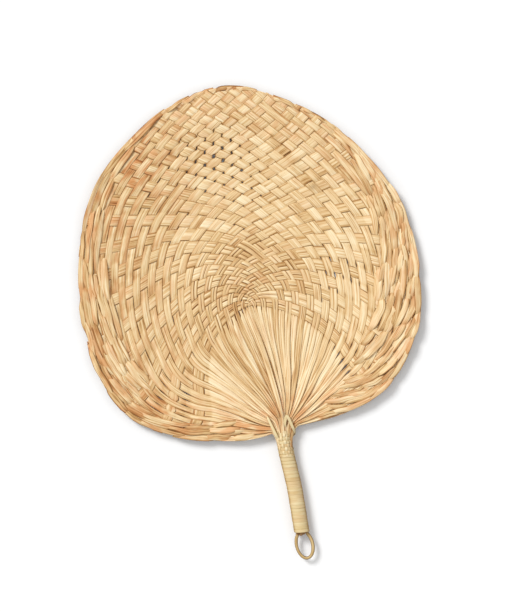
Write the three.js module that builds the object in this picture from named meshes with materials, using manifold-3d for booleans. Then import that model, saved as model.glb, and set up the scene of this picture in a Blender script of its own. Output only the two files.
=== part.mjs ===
// A hand fan plaited from palm-leaf strips, with a cane-wrapped handle and a hanging loop.
// Millimetres, +Z up. The fan lies face up with its handle towards -Y.
import * as THREE from 'three';
import { mergeVertices } from 'three/addons/utils/BufferGeometryUtils.js';
import Module from 'manifold-3d';

const wasm = await Module();
wasm.setup();

// Blade: everything is measured from its middle; the strips first cross a little to the left of that.
const NECK_Y = -108;
const LEFT_REACH = 159.5;
const RIGHT_REACH = 136.5;
const TOP_REACH = 189;
const LEFT_COUNT = 28;
const RIGHT_COUNT = 26;
// The rim as [degrees from +X, distance from the middle]; the left lobe is the larger one.
const RIM = [
  [-90, -NECK_Y], [-60, 0.86 * RIGHT_REACH], [-30, 0.96 * RIGHT_REACH], [0, RIGHT_REACH],
  [30, 1.09 * RIGHT_REACH], [60, 1.22 * RIGHT_REACH], [90, TOP_REACH], [120, 1.15 * LEFT_REACH],
  [150, 1.07 * LEFT_REACH], [180, LEFT_REACH], [210, 0.965 * LEFT_REACH], [240, 0.8 * LEFT_REACH],
  [270, -NECK_Y],
];
// Half angle of the plaited sector, from the middle out to the rim.
const SECTOR = [[0, 88], [0.25, 104], [0.5, 121], [0.75, 134], [1, 134]];
// How long a strip keeps to its own side of the rim before it turns out across the other side.
const HUG = 3;
// How near the outer edge of the outermost lane comes to the rim.
const LAST_LANE = 0.985;
// How much of a lane's swing round the middle is even, at the middle and at the rim; the rest comes close to
// the lower edges.
const MIDDLE_SWING = 0.9;
const RIM_SWING = 0.46;
// How far the first crossing lies to the left of the handle's line.
const MIDDLE_SHIFT = 13;
// Pitch of the first and the last lane beside the mean one: the strips are narrow at the middle and the rim.
const FIRST_PITCH = 0.36;
const LAST_PITCH = 0.75;

// Strips
const STRIP_THICKNESS = 0.3;
const STRIP_FILL = 0.78;
const STRIP_MOST_WIDTH = 9.4;
const WEAVE_RISE = 1.2;
const LONGEST_STEP = 15;
const RIM_LIFT = 5;
const BELLY = 0.45;

// Gathered strip ends at the neck
const ROOT_STEPS = 6;
const NECK_RADIUS = 10;
const LEFT_SWEEP_DEG = 102;
const RIGHT_SWEEP_DEG = 87;
const HEAD_BELOW_DEG = 20;
const NECK_FILL = 0.6;
const NECK_FOLD = 2.2;
const NECK_EVENNESS = 0.85;

// Handle
const CORE_RADIUS = 5.3;
const HANDLE_LENGTH = 91;
const HANDLE_END_Y = NECK_Y - HANDLE_LENGTH;
const HEAD_RADIUS = NECK_RADIUS - 0.3;
const HEAD_THICKNESS = 4;
const WRAP_STEPS = 16;
const WRAP_PITCH = 2.95;
const WRAP_WIDTH = 2.4;
const WRAP_THICKNESS = 0.8;
const SEAT_GAP = 0.3;
const COLLAR_TOP_Y = NECK_Y - 3.5;
const COLLAR_LENGTH = 14;
const COLLAR_FLARE = 2.6;
const COLLAR_PINCH = 0.35;
const COLLAR_SIDES = 32;
// The wrap runs from the collar to the end of the handle.
const WRAP_RUN = COLLAR_TOP_Y - COLLAR_LENGTH - SEAT_GAP - WRAP_WIDTH - HANDLE_END_Y;

// Ties
const TIE_RADIUS = NECK_RADIUS + 3;
const TIE_WIDTH = 3;
const TIE_HEIGHT = 6.8;
const TIE_THICKNESS = 0.45;

// Hanging loop
const LOOP_RADIUS = 1.15;
const LOOP_SIDES = 8;
const LOOP_STEPS = 25;
const LOOP_HALF_WIDTH = 6.9;
const LOOP_HALF_HEIGHT = 11.5;
const LOOP_DROP = 1;
const LOOP_LEAN = 1.2;
const LOOP_OPEN_DEG = 140;
const LOOP_LEG_X = CORE_RADIUS - LOOP_RADIUS - 0.25;
const LOOP_LEG_LENGTH = 28;

const WRAP_OUTER = CORE_RADIUS + SEAT_GAP + WRAP_THICKNESS;
const AXIS_Z = WRAP_OUTER * Math.cos(Math.PI / WRAP_STEPS);
const MIDDLE_Z = WEAVE_RISE + STRIP_THICKNESS / 2;

const interpolant = (pairs) =>
  new THREE.CubicInterpolant(pairs.map((p) => p[0]), pairs.map((p) => p[1]), 1);
const rimSpline = interpolant(RIM);
const sectorSpline = interpolant(SECTOR);
const rim = (degrees) => rimSpline.evaluate(degrees)[0];
const halfSector = (share) => sectorSpline.evaluate(THREE.MathUtils.clamp(share, 0, 1))[0];

// Where a lane lies, as a share of its family's reach, for a share of its count.
function lanePlace(share) {
  const most = (1 - FIRST_PITCH / 5 - LAST_PITCH / 7) / (1 - 1 / 5 - 1 / 7);
  const middle = ((most - FIRST_PITCH) * (1 - (1 - share) ** 5)) / 5;
  return most * share - middle - ((most - LAST_PITCH) * share ** 7) / 7;
}

// Share of the way from the middle to the rim where two lanes meet.
function reachShare(rightLane, leftLane) {
  const a = rightLane / RIGHT_REACH;
  const b = leftLane / LEFT_REACH;
  return LAST_LANE * (a ** HUG + b ** HUG) ** (1 / HUG);
}

// The plan point where a right-hand lane and a left-hand lane meet; lanes are distances across the blade.
function meet(rightLane, leftLane) {
  const a = rightLane / RIGHT_REACH;
  const b = leftLane / LEFT_REACH;
  const lean = (b - a) / Math.max(a + b, 1e-9);
  const share = reachShare(rightLane, leftLane);
  const even = THREE.MathUtils.lerp(MIDDLE_SWING, RIM_SWING, share);
  const degrees = 90 + lean * (even + (1 - even) * lean * lean) * halfSector(share);
  const radius = rim(degrees) * share;
  const angle = THREE.MathUtils.degToRad(degrees);
  const shift = MIDDLE_SHIFT * Math.max(0, 1 - share) ** 2;
  return new THREE.Vector2(radius * Math.cos(angle) - shift, radius * Math.sin(angle));
}

// Height of the middle of the plait: a flat belly with a raised rim, like a shallow dish.
function dish(point) {
  let degrees = THREE.MathUtils.radToDeg(Math.atan2(point.y, point.x));
  if (degrees < -90) degrees += 360;
  const share = Math.min(1, point.length() / rim(degrees));
  return MIDDLE_Z + RIM_LIFT * THREE.MathUtils.smoothstep(share, BELLY, 1);
}

// One closed solid through a list of rings with the same number of corners.
function loft(rings) {
  const sides = rings[0].length;
  const positions = rings.flat().flatMap((p) => [p.x, p.y, p.z]);
  const index = [];
  for (let k = 0; k + 1 < rings.length; k += 1) {
    for (let s = 0; s < sides; s += 1) {
      const a = k * sides + s;
      const b = k * sides + ((s + 1) % sides);
      index.push(a, b, b + sides, a, b + sides, a + sides);
    }
  }
  const last = (rings.length - 1) * sides;
  for (let s = 1; s + 1 < sides; s += 1) {
    index.push(0, s + 1, s, last, last + s, last + s + 1);
  }
  const geometry = new THREE.BufferGeometry();
  geometry.setAttribute('position', new THREE.Float32BufferAttribute(positions, 3));
  geometry.setIndex(index);
  return geometry.toNonIndexed();
}

// A strip's four corners: its edges in plan, their heights, and a thickness that holds where it is folded.
function stripRing(low, high, lowZ, highZ) {
  const across = low.distanceTo(high);
  const tall = (STRIP_THICKNESS * Math.hypot(across, highZ - lowZ)) / across / 2;
  return [
    new THREE.Vector3(low.x, low.y, lowZ - tall),
    new THREE.Vector3(high.x, high.y, highZ - tall),
    new THREE.Vector3(high.x, high.y, highZ + tall),
    new THREE.Vector3(low.x, low.y, lowZ + tall),
  ];
}

// The two families. Each one's own lane comes first; the other family's lane second.
const ownLane = (family, number) => family.reach * lanePlace(number / family.count);
const otherLane = (family, number) => family.otherReach * lanePlace(number / family.otherCount);
const families = {
  left: {
    count: LEFT_COUNT,
    reach: LEFT_REACH,
    otherCount: RIGHT_COUNT,
    otherReach: RIGHT_REACH,
    side: -1,
    sweepDeg: LEFT_SWEEP_DEG,
    over: 1,
    point: (lane, other) => meet(other, lane),
    share: (lane, other) => reachShare(other, lane),
  },
  right: {
    count: RIGHT_COUNT,
    reach: RIGHT_REACH,
    otherCount: LEFT_COUNT,
    otherReach: LEFT_REACH,
    side: 1,
    sweepDeg: RIGHT_SWEEP_DEG,
    over: -1,
    point: (lane, other) => meet(lane, other),
    share: (lane, other) => reachShare(lane, other),
  },
};

// The unwoven root of a lane, from the neck (0) to the first crossing (1).
function root(family, lane, t) {
  const swing = THREE.MathUtils.degToRad(family.sweepDeg * (lane / family.reach) ** NECK_EVENNESS);
  const out = new THREE.Vector2(family.side * Math.sin(swing), Math.cos(swing));
  const start = new THREE.Vector2(0, NECK_Y).addScaledVector(out, NECK_RADIUS);
  const end = family.point(lane, 0);
  const heading = family.point(lane, 0.01 * lane).sub(end).normalize();
  const arm = 0.36 * start.distanceTo(end);
  const curve = new THREE.CubicBezierCurve(
    start,
    start.clone().addScaledVector(out, arm),
    end.clone().addScaledVector(heading, -Math.min(arm, 1.5 * lane)),
    end,
  );
  return curve.getPoint(t);
}

// How far a line along a lane stays inside the rim, as a lane of the other family.
function laneEnd(family, lane) {
  let inside = 0;
  let outside = family.otherReach;
  for (let k = 0; k < 40; k += 1) {
    const middle = (inside + outside) / 2;
    if (family.share(lane, middle) < 1) inside = middle;
    else outside = middle;
  }
  return inside;
}

function capWidth(low, high) {
  const spare = 1 - Math.min(1, STRIP_MOST_WIDTH / low.distanceTo(high));
  const middle = low.clone().lerp(high, 0.5);
  return [low.clone().lerp(middle, spare), high.clone().lerp(middle, spare)];
}

// One strip from the neck to the rim: a folded root, then over one and under one.
function stripGeometry(family, number) {
  const lane = ownLane(family, number + 0.5);
  const half = (STRIP_FILL * (ownLane(family, number + 1) - ownLane(family, number))) / 2;
  const rings = [];
  for (let k = 0; k < ROOT_STEPS; k += 1) {
    const t = k / ROOT_STEPS;
    const width = half * THREE.MathUtils.lerp(NECK_FILL / STRIP_FILL, 1, t);
    const [low, high] = capWidth(root(family, lane - width, t), root(family, lane + width, t));
    const fold = (NECK_FOLD * (1 - t) ** 1.5) / 2;
    rings.push({ low, high, lowZ: dish(low) - fold, highZ: dish(high) + fold });
  }
  // A strip crosses every lane whose whole cell is inside the rim. In a cell that the rim cuts, the upper
  // strip runs on to the rim.
  const limit = laneEnd(family, ownLane(family, number + 1)) + 1e-3;
  let crossed = 0;
  while (crossed < family.otherCount && otherLane(family, crossed + 1) <= limit) crossed += 1;
  const riseAt = (k) => ((number + k) % 2 ? -1 : 1) * family.over * WEAVE_RISE;
  const stops = [{ other: 0, rise: 0 }];
  for (let k = 0; k < crossed; k += 1) {
    stops.push({ other: otherLane(family, k + 0.5), rise: riseAt(k) });
  }
  const runsOn = riseAt(crossed) > 0 && crossed < family.otherCount;
  const end = Math.min(laneEnd(family, lane), otherLane(family, crossed + 1));
  stops.push({ other: runsOn ? end : otherLane(family, crossed), rise: 0 });
  stops.forEach((stop, k) => {
    const next = stops[k + 1];
    const span = next ? family.point(lane, stop.other).distanceTo(family.point(lane, next.other)) : 0;
    const parts = Math.max(1, Math.round(span / LONGEST_STEP));
    for (let p = 0; p < (next ? parts : 1); p += 1) {
      const t = p / parts;
      const other = next ? THREE.MathUtils.lerp(stop.other, next.other, t) : stop.other;
      const rise = next ? THREE.MathUtils.lerp(stop.rise, next.rise, t) : stop.rise;
      const [low, high] = capWidth(family.point(lane - half, other), family.point(lane + half, other));
      rings.push({ low, high, lowZ: dish(low) + rise, highZ: dish(high) + rise });
    }
  });
  const corners = rings.map((r) => stripRing(r.low, r.high, r.lowZ, r.highZ));
  // Corners run the other way round on the left, so that both families face outwards.
  return loft(family.side < 0 ? corners : corners.map((ring) => [ring[1], ring[0], ring[3], ring[2]]));
}

// Joining and cutting of closed solids
function solid(geometry) {
  const bare = new THREE.BufferGeometry();
  const flat = geometry.index ? geometry.toNonIndexed() : geometry;
  bare.setAttribute('position', flat.getAttribute('position'));
  const merged = mergeVertices(bare, 1e-4);
  return new wasm.Manifold(new wasm.Mesh({
    numProp: 3,
    vertProperties: merged.attributes.position.array,
    triVerts: new Uint32Array(merged.index.array),
  }));
}

function fromSolid(body) {
  const mesh = body.getMesh();
  const geometry = new THREE.BufferGeometry();
  geometry.setAttribute('position', new THREE.Float32BufferAttribute(mesh.vertProperties, 3));
  geometry.setIndex(Array.from(mesh.triVerts));
  return geometry.toNonIndexed();
}

function rod(radius, fromY, toY, sides) {
  return new THREE.CylinderGeometry(radius, radius, Math.abs(toY - fromY), sides)
    .rotateY(Math.PI / sides)
    .translate(0, (fromY + toY) / 2, AXIS_Z);
}

function block(x, y, z, width, length, height) {
  return new THREE.BoxGeometry(width, length, height).translate(x, y, z);
}

// The core: a rod with a flat flared head for the strips to gather round, and a groove for each loop leg.
function coreGeometry() {
  const lower = THREE.MathUtils.degToRad(-HEAD_BELOW_DEG);
  const outline = new THREE.Shape();
  outline.moveTo(CORE_RADIUS * 0.9, COLLAR_TOP_Y - 4);
  outline.lineTo(CORE_RADIUS * 0.9, COLLAR_TOP_Y);
  outline.absarc(0, NECK_Y, HEAD_RADIUS, lower, Math.PI - lower, false);
  outline.lineTo(-CORE_RADIUS * 0.9, COLLAR_TOP_Y);
  outline.lineTo(-CORE_RADIUS * 0.9, COLLAR_TOP_Y - 4);
  const head = new THREE.ExtrudeGeometry(outline, {
    depth: HEAD_THICKNESS, bevelEnabled: false, curveSegments: 28,
  }).translate(0, 0, AXIS_Z - HEAD_THICKNESS / 2);
  let body = solid(rod(CORE_RADIUS, COLLAR_TOP_Y - 1, HANDLE_END_Y, 24)).add(solid(head));
  const width = 2 * (LOOP_RADIUS + SEAT_GAP);
  for (const side of [-1, 1]) {
    const groove = block(
      side * (LOOP_LEG_X + 2), HANDLE_END_Y + LOOP_LEG_LENGTH / 2 - 0.5, AXIS_Z,
      width + 4, LOOP_LEG_LENGTH + 2, width,
    );
    body = body.subtract(solid(groove));
  }
  return fromSolid(body);
}

// The wrap: one flat strip wound down the core. Each turn has a level facet underneath.
function wrapGeometry() {
  const inner = CORE_RADIUS + SEAT_GAP;
  const top = COLLAR_TOP_Y - COLLAR_LENGTH - SEAT_GAP - WRAP_WIDTH / 2;
  const steps = Math.round((WRAP_RUN / WRAP_PITCH) * WRAP_STEPS);
  const rings = [];
  const path = [];
  for (let k = 0; k <= steps; k += 1) {
    const angle = ((k + 0.5) / WRAP_STEPS) * 2 * Math.PI;
    const y = top - (k / WRAP_STEPS) * WRAP_PITCH;
    const corner = (radius, side) => new THREE.Vector3(
      radius * Math.sin(angle), y + (side * WRAP_WIDTH) / 2, AXIS_Z + radius * Math.cos(angle),
    );
    rings.push([corner(inner, -1), corner(WRAP_OUTER, -1), corner(WRAP_OUTER, 1), corner(inner, 1)]);
    path.push(corner(inner, 0));
  }
  console.log('handle_wrap: least gap between turns', leastTurnGap(path).toFixed(2), 'mm');
  return loft(rings.map((ring) => ring.slice().reverse()));
}

// Least gap between the edges of turns that lie next to each other, from points along the winding.
function leastTurnGap(path) {
  let least = Infinity;
  for (let k = 0; k + WRAP_STEPS / 2 < path.length; k += 1) {
    for (let other = k + WRAP_STEPS / 2; other < path.length; other += 1) {
      least = Math.min(least, path[k].distanceTo(path[other]) - WRAP_WIDTH);
    }
  }
  return least;
}

// The loop: two legs in the core's grooves and an egg-shaped eye that leans to the right.
function loopGeometry() {
  const open = THREE.MathUtils.degToRad(LOOP_OPEN_DEG);
  const middleY = HANDLE_END_Y - LOOP_DROP + LOOP_HALF_HEIGHT * Math.cos(open);
  const path = [new THREE.Vector3(-LOOP_LEG_X, HANDLE_END_Y + LOOP_LEG_LENGTH, AXIS_Z)];
  path.push(new THREE.Vector3(-LOOP_LEG_X, HANDLE_END_Y + 1, AXIS_Z));
  for (let k = 0; k <= LOOP_STEPS; k += 1) {
    const turn = THREE.MathUtils.lerp(-open, open, k / LOOP_STEPS);
    const x = (LOOP_LEAN * (1 + Math.cos(turn))) / 2 + LOOP_HALF_WIDTH * Math.sin(turn);
    path.push(new THREE.Vector3(x, middleY - LOOP_HALF_HEIGHT * Math.cos(turn), AXIS_Z));
  }
  path.push(new THREE.Vector3(LOOP_LEG_X, HANDLE_END_Y + 1, AXIS_Z));
  path.push(new THREE.Vector3(LOOP_LEG_X, HANDLE_END_Y + LOOP_LEG_LENGTH, AXIS_Z));
  const up = new THREE.Vector3(0, 0, 1);
  const rings = path.map((p, k) => {
    const before = path[Math.max(0, k - 1)];
    const after = path[Math.min(path.length - 1, k + 1)];
    const along = after.clone().sub(before).normalize();
    const across = new THREE.Vector3().crossVectors(along, up);
    return Array.from({ length: LOOP_SIDES }, (_, s) => {
      const angle = ((s + 0.5) / LOOP_SIDES) * 2 * Math.PI;
      return p.clone()
        .addScaledVector(across, (LOOP_RADIUS * Math.cos(angle)) / Math.cos(Math.PI / LOOP_SIDES))
        .addScaledVector(up, (LOOP_RADIUS * Math.sin(angle)) / Math.cos(Math.PI / LOOP_SIDES));
    });
  });
  return loft(rings.map((ring) => ring.slice().reverse()));
}

// The collar: a flared band, wide and flat at the neck and round where it meets the wrap.
function collarGeometry() {
  const stations = [[0, 1], [0.25, 0.6], [0.6, 0.2], [1, 0]];
  const rings = stations.map(([share, flare]) => {
    const y = COLLAR_TOP_Y - share * COLLAR_LENGTH;
    const halfWidth = WRAP_OUTER + flare * COLLAR_FLARE;
    const halfHeight = AXIS_Z - flare * COLLAR_PINCH;
    return Array.from({ length: COLLAR_SIDES }, (_, s) => {
      const angle = ((s + 0.5) / COLLAR_SIDES) * 2 * Math.PI;
      return new THREE.Vector3(
        halfWidth * Math.cos(angle), y, AXIS_Z + halfHeight * Math.sin(angle),
      );
    });
  });
  const bore = rod(CORE_RADIUS + SEAT_GAP, COLLAR_TOP_Y + 5, COLLAR_TOP_Y - COLLAR_LENGTH - 5, 24);
  const bar = block(0, COLLAR_TOP_Y - 2, AXIS_Z, 2 * CORE_RADIUS, 8, HEAD_THICKNESS + 2 * SEAT_GAP);
  return fromSolid(solid(loft(rings)).subtract(solid(bore)).subtract(solid(bar)));
}

function sector(inner, outer, fromDeg, toDeg, side, z, height) {
  const turn = (degrees) => Math.PI / 2 - side * THREE.MathUtils.degToRad(degrees);
  const shape = new THREE.Shape();
  shape.absarc(0, NECK_Y, outer, turn(fromDeg), turn(toDeg), side > 0);
  shape.absarc(0, NECK_Y, inner, turn(toDeg), turn(fromDeg), side < 0);
  return new THREE.ExtrudeGeometry(shape, { depth: height, bevelEnabled: false, curveSegments: 10 })
    .translate(0, 0, z - height / 2);
}

// A tie: a strip hooked over one shoulder of the neck, from its front round the outer edge to its back.
function tieGeometry({ side, sweepDeg }, fromDeg) {
  const z = dish(new THREE.Vector2(0, NECK_Y + TIE_RADIUS));
  const outer = TIE_RADIUS + TIE_WIDTH;
  const inside = TIE_HEIGHT - 2 * TIE_THICKNESS;
  const band = sector(TIE_RADIUS, outer, fromDeg, sweepDeg + 5.5, side, z, TIE_HEIGHT);
  const room = sector(TIE_RADIUS - 1, outer + 1, fromDeg - 10, sweepDeg + 2.5, side, z, inside);
  return fromSolid(solid(band).subtract(solid(room)));
}

const straw = (hex, roughness) => new THREE.MeshStandardMaterial({ color: hex, roughness, metalness: 0 });
const STRAW_SHADES = [0xe6c493, 0xdfb984, 0xebcb9c, 0xd9b27c];

const fan = new THREE.Group();
function add(name, geometry, material) {
  geometry.computeVertexNormals();
  const mesh = new THREE.Mesh(geometry, material);
  mesh.name = name;
  fan.add(mesh);
}

for (const [name, family] of Object.entries(families)) {
  for (let k = 0; k < family.count; k += 1) {
    const shade = STRAW_SHADES[(k * 3 + (family.side > 0 ? 1 : 0)) % STRAW_SHADES.length];
    add(`${name}_strip_${String(k + 1).padStart(2, '0')}`, stripGeometry(family, k), straw(shade, 0.6));
  }
}
add('handle_core', coreGeometry(), straw(0xc9a06a, 0.7));
add('handle_wrap', wrapGeometry(), straw(0xdfc89e, 0.5));
add('neck_collar', collarGeometry(), straw(0xe3cda2, 0.55));
add('neck_tie_left', tieGeometry(families.left, 55), straw(0xead7ae, 0.55));
add('neck_tie_right', tieGeometry(families.right, 24), straw(0xead7ae, 0.55));
add('hanging_loop', loopGeometry(), straw(0xd8bd84, 0.5));

// The origin is under the middle of the whole fan.
const box = new THREE.Box3().setFromObject(fan);
fan.position.set(-(box.min.x + box.max.x) / 2, -(box.min.y + box.max.y) / 2, -box.min.z);

export default fan;
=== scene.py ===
import math
from types import SimpleNamespace

import bpy
import numpy as np
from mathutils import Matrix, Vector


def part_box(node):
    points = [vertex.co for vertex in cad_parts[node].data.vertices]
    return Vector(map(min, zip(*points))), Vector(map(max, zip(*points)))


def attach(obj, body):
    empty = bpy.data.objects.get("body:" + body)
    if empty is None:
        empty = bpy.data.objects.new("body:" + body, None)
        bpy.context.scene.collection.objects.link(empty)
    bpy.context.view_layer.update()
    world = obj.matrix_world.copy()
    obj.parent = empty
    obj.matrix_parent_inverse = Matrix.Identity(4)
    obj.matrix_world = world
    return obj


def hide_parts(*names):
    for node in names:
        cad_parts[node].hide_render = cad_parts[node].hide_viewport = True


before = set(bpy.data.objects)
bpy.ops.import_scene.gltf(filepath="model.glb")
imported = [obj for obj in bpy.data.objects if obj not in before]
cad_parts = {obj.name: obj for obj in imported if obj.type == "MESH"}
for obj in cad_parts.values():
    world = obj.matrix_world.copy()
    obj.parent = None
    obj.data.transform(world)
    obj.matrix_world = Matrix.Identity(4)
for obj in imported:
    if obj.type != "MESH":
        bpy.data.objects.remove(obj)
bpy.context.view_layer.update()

MM = 0.001
rng = np.random.default_rng(41)

# ---------------------------------------------------------------- the plait's plan, in millimetres
# Origin: the middle of the plait. +Y runs up the fan, away from the handle.
NECK_Y = -108.0
HANDLE_LENGTH = 91.0
HANDLE_LEAN = 2.4
REACH = {"left": 159.5, "right": 136.5}      # from the middle to the last root's crossing
COUNT = {"left": 28, "right": 26}
SIDE = {"left": -1, "right": 1}
OTHER = {"left": "right", "right": "left"}
WHICH = {"left": 0, "right": 1}
SWEEP_DEG = {"left": 102.0, "right": 87.0}   # how far the roots fan out from the neck
NECK_EVENNESS = 1.1    # at 1 the roots leave the neck at even angles
NECK_RADIUS = 13.0
# The rim's radius about the origin, every 15 degrees from straight down and round by the right.
RIM_DEG = np.arange(-90, 271, 15.0)
RIM_MM = np.array([108, 109, 117, 126, 129.5, 133, 134.5, 139, 146.5, 153, 163.5, 175, 188.5,
                   188, 181.5, 176.5, 168, 160.5, 156.5, 155, 151.5, 139, 125.5, 117, 108])
HUG = 3.0              # how closely the lanes follow the rim
LAST_LANE = 0.985      # share of the way to the rim that the last lane reaches
# Half angle of the plaited sector on either side, at even steps from the middle to the rim.
LEFT_SECTOR_DEG = np.array([98.0, 118.0, 135.0, 145.0, 145.0])
RIGHT_SECTOR_DEG = np.array([98.0, 114.0, 128.0, 139.0, 140.0])
SECTOR_BLEND = 0.6
# How much the lanes bulge beside the roots, and the degrees over which the bulge sets in.
LEFT_BULGE, LEFT_BULGE_DEG = 0.28, (190, 235)
RIGHT_BULGE, RIGHT_BULGE_DEG = 0.15, (10, 50)
MIDDLE_SWING = 0.9     # how evenly the crossings spread over the sector, in the middle
RIM_SWING = 0.46       # and at the rim
MIDDLE_SHIFT = -13.0   # where the first crossing lies, across the fan
FIRST_PITCH = 0.36     # width of the first and the last lane, against the mean
LAST_PITCH = 0.75
FIRST_POWER = 5        # how soon the widths between them are even
LAST_POWER = 7
MIDDLE_Z = 1.35        # height of the flat belly
RIM_LIFT = 5.0
BELLY = 0.45           # share of the way to the rim that stays flat
AXIS_Z = 6.277         # height of the handle's axis

core_low, core_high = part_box("handle_core")
ORIGIN = np.array([
    (core_low[0] + core_high[0]) / 2 / MM,
    core_low[1] / MM + HANDLE_LENGTH - NECK_Y,
    0.0,
])

# ---------------------------------------------------------------- strips of the visual model
FILL = 1.02            # share of a lane that a strip covers
MOST_WIDTH = {"left": 10.5, "right": 12.0}
SKIN = 0.26            # thickness of a strip
RISE = 0.42            # height of a strip over the plait's middle surface
ROW_STEP = 1.25
ACROSS = np.array([-1, -0.86, -0.5, -0.15, 0, 0.15, 0.5, 0.86, 1])
MIDDLE = len(ACROSS) // 2
THIN_EDGES = SKIN * (1 - 0.75 * np.abs(ACROSS) ** 6)[None, :]
BORDER_STEP = 0.7      # extra height of the border, where the strip ends are turned back
BORDER_FROM = (0.8, 0.85)
RIDGE = (28, 141, 55, 94)       # a crease in the upper right: from x, y to x, y
RIDGE_HEIGHT = 2.8
RIDGE_WIDTH = 3.2
# Bumps where the strips bulge: x, y, radius and height. They are longer up the fan than across.
LUMPS = [(58, 96, 9, 1.44), (79, 62, 10, 1.76), (92, 30, 9, 1.44), (70, 36, 8, 1.12),
         (101, 2, 9, 1.28), (84, -18, 9, 1.28), (104, 54, 9, 1.28), (88, -44, 9, 1.12),
         (45, 118, 8, 1.12), (66, -2, 8, 0.96), (-110, 20, 10, 0.96), (-96, 56, 9, 0.96),
         (-112, -18, 9, 0.96), (-84, -52, 10, 0.96)]
LUMP_LENGTH = 1.6
CORNER_PINCH = 0.03    # how much narrower a strip is between two crossings
# Loosely plaited places: x, y, radius, and how much more the strips are pinched there.
LOOSE = [(-24, 136, 32, 0.37), (-16, 3, 11, 0.22), (70, 14, 18, 0.2), (56, -64, 18, 0.26),
         (4, 100, 24, 0.1), (-91, -69, 12, 0.35)]
LAST_SHARE = 0.992     # where the strips turn under, as a share of the way to the rim
FOLD_DROP = 1.35       # depth of the turned-under ends below the middle surface
FOLD_RADIUS = 0.9
FOLD_BACK = (1.5, 3, 4.5, 6)
LEAST_Z = 0.02         # a strip's under side never lies lower than this over the table
LEAST_TOP_Z = 0.05     # nor its upper side than this


def smoothstep(x, low, high):
    t = np.clip((x - low) / (high - low), 0, 1)
    return t * t * (3 - 2 * t)


def spot(point, at_x, at_y, radius):
    """A soft round spot on the plan: 1 in its middle, fading outwards."""
    away = (point[..., 0] - at_x) ** 2 + (point[..., 1] - at_y) ** 2
    return np.exp(-away / radius**2)


def catmull(xs, ys, x):
    """Catmull-Rom curve through evenly spaced points."""
    step = xs[1] - xs[0]
    slope = np.gradient(ys, step)
    x = np.clip(x, xs[0], xs[-1])
    k = np.clip(((x - xs[0]) / step).astype(int), 0, len(xs) - 2)
    t = (x - xs[k]) / step
    h00 = 2 * t**3 - 3 * t**2 + 1
    h10 = t**3 - 2 * t**2 + t
    h01 = -2 * t**3 + 3 * t**2
    h11 = t**3 - t**2
    return h00 * ys[k] + h10 * step * slope[k] + h01 * ys[k + 1] + h11 * step * slope[k + 1]


def rim(degrees):
    """Radius of the rim in a direction."""
    return catmull(RIM_DEG, RIM_MM, np.asarray(degrees, float))


def half_sector(share, balance):
    """Half angle of the plaited sector at a share of the way to the rim."""
    knots = np.linspace(0, 1, len(LEFT_SECTOR_DEG))
    left = catmull(knots, LEFT_SECTOR_DEG, share)
    right = catmull(knots, RIGHT_SECTOR_DEG, share)
    return right + (left - right) * smoothstep(balance, -SECTOR_BLEND, SECTOR_BLEND)


def lane_place(share):
    """Share of the strips, counted from the middle -> share of the reach."""
    first, last = FIRST_POWER, LAST_POWER
    most = (1 - FIRST_PITCH / first - LAST_PITCH / last) / (1 - 1 / first - 1 / last)
    share = np.clip(share, 0, 1)
    return (most * share - (most - FIRST_PITCH) * (1 - (1 - share) ** first) / first
            - (most - LAST_PITCH) * share**last / last)


LANE_TABLE = np.linspace(0, 1, 2001)
PLACE_TABLE = lane_place(LANE_TABLE)


def lane_share(place):
    """The other way round: share of the reach -> share of the strips."""
    return np.interp(place, PLACE_TABLE, LANE_TABLE)


def reach_share(a, b):
    """Share of the way from the middle to the rim where two lanes meet."""
    return LAST_LANE * (np.abs(a) ** HUG + np.abs(b) ** HUG + 1e-30) ** (1 / HUG)


def meet(a, b):
    """Plan point where right lane a meets left lane b, both as shares of their reach."""
    total = np.maximum(a + b, 1e-9)
    balance = (b - a) / total
    share = reach_share(a, b)
    even = MIDDLE_SWING + (RIM_SWING - MIDDLE_SWING) * share
    swing = balance * (even + (1 - even) * balance**2)
    degrees = 90 + swing * half_sector(share, balance)
    bulge = (LEFT_BULGE * smoothstep(degrees, *LEFT_BULGE_DEG)
             + RIGHT_BULGE * smoothstep(-degrees, *RIGHT_BULGE_DEG))
    radius = rim(degrees) * share * (1 + bulge * (1 - share))
    angle = np.radians(degrees)
    shift = MIDDLE_SHIFT * np.maximum(0, 1 - share) ** 2
    return np.stack([radius * np.cos(angle) + shift, radius * np.sin(angle)], -1)


def along(family, own, other):
    """Plan point on a family's own lane where it meets a lane of the other family."""
    return meet(other, own) if family == "left" else meet(own, other)


def lane_end(own):
    """Place on the other family's lanes where a strip reaches the rim."""
    low, high = np.zeros_like(own), np.full_like(own, 1.4)
    for _ in range(40):
        mid = (low + high) / 2
        inside = reach_share(own, mid) < LAST_SHARE
        low, high = np.where(inside, mid, low), np.where(inside, high, mid)
    return low


def rim_share(point):
    """Share of the way from the origin to the rim."""
    angle = np.degrees(np.arctan2(point[..., 1], point[..., 0]))
    angle = np.where(angle < -90, angle + 360, angle)
    return np.hypot(point[..., 0], point[..., 1]) / rim(angle)


def from_ridge(point):
    """How far a point is from the crease."""
    from_x, from_y, to_x, to_y = RIDGE
    line = np.array([to_x - from_x, to_y - from_y])
    x, y = point[..., 0] - from_x, point[..., 1] - from_y
    t = np.clip((x * line[0] + y * line[1]) / (line @ line), 0, 1)
    return np.hypot(x - t * line[0], y - t * line[1])


def dish(point):
    """Height of the plait's middle surface: a flat belly, a raised rim, a border and a crease."""
    share = np.minimum(1, rim_share(point))
    z = (MIDDLE_Z + RIM_LIFT * smoothstep(share, BELLY, 1)
         + BORDER_STEP * smoothstep(share, *BORDER_FROM))
    for x, y, radius, rise in LUMPS:
        upright = (point[..., 1] - y) / LUMP_LENGTH
        z = z + rise * np.exp(-((point[..., 0] - x) ** 2 + upright**2) / radius**2)
    return z + RIDGE_HEIGHT * np.exp(-(from_ridge(point) / RIDGE_WIDTH) ** 2)


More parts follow.
